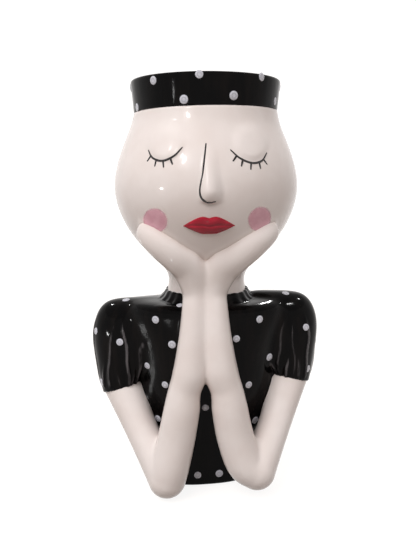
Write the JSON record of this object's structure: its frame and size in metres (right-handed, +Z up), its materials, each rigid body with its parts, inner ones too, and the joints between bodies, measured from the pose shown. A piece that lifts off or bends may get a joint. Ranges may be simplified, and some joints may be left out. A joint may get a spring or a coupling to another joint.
{
  "type": "head planter",
  "caption": "Glazed ceramic bust planter: a doll-like head open at the top as a pot, chin resting on its hands, with a rubber drain plug.",
  "frame": {"origin": "centre of the flat foot, on the table, under the axis of the head", "axes": "+Z up through the mouth of the head, -Y towards the viewer of the face, +X to the viewer's right"},
  "size_m": [0.1497, 0.1224, 0.2587],
  "materials": {
    "white_glaze": "glossy warm white glaze",
    "black_glaze": "glossy black glaze",
    "red_enamel": "glossy deep red enamel",
    "pink_underglaze": "pink underglaze",
    "line_enamel": "black brush enamel",
    "dot_enamel": "pale grey raised enamel",
    "plug_rubber": "matte black rubber"
  },
  "bodies": {
    "planter": {"head_pot": "white_glaze", "left_arm": "white_glaze", "right_arm": "white_glaze", "rim_band": "black_glaze", "collar": "black_glaze", "bodice": "black_glaze", "left_sleeve": "black_glaze", "right_sleeve": "black_glaze", "lips": "red_enamel", "left_blush": "pink_underglaze", "right_blush": "pink_underglaze", "nose_line": "line_enamel", "left_lashes": "line_enamel", "right_lashes": "line_enamel", "rim_dots": "dot_enamel", "bodice_dots": "dot_enamel", "left_sleeve_dots": "dot_enamel", "right_sleeve_dots": "dot_enamel"},
    "plug": {"drain_plug": "plug_rubber"}
  },
  "joints": [
    {"name": "plug_lift", "type": "slide", "parent": "planter", "child": "plug", "axis": [0, 0, 1], "range_m": [0, 0.13]}
  ]
}
